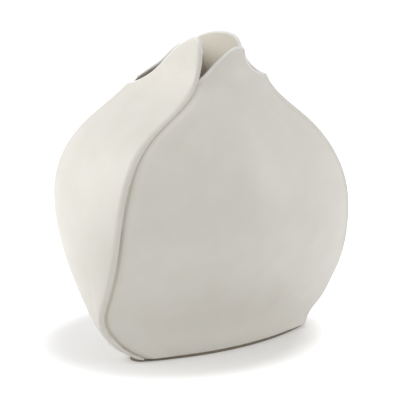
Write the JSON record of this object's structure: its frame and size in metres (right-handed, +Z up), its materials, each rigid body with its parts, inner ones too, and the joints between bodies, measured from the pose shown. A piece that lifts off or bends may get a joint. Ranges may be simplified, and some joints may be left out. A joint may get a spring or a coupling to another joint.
{
  "type": "pillow vase",
  "caption": "Slab-built bulbous pillow vase with two broad bowed faces, narrower side walls and a mouth of four petals, on a low recessed foot.",
  "frame": {"origin": "centre of the vase's bounding box on the ground under its foot", "axes": "+Z up, +X along the broad faces towards the right side wall, -Y out of the front face"},
  "size_m": [0.2227, 0.1384, 0.2213],
  "materials": {
    "glazed_wall": "satin white glaze over a pale clay body",
    "inside_glaze": "thin warm glaze inside",
    "bare_clay": "unglazed fired clay"
  },
  "bodies": {
    "root": {"front_wall": "glazed_wall", "back_wall": "glazed_wall", "left_wall": "glazed_wall", "right_wall": "glazed_wall", "floor_slab": "inside_glaze", "foot_ring": "bare_clay", "front_left_coil": "inside_glaze", "front_right_coil": "inside_glaze", "back_left_coil": "inside_glaze", "back_right_coil": "inside_glaze"}
  },
  "joints": []
}
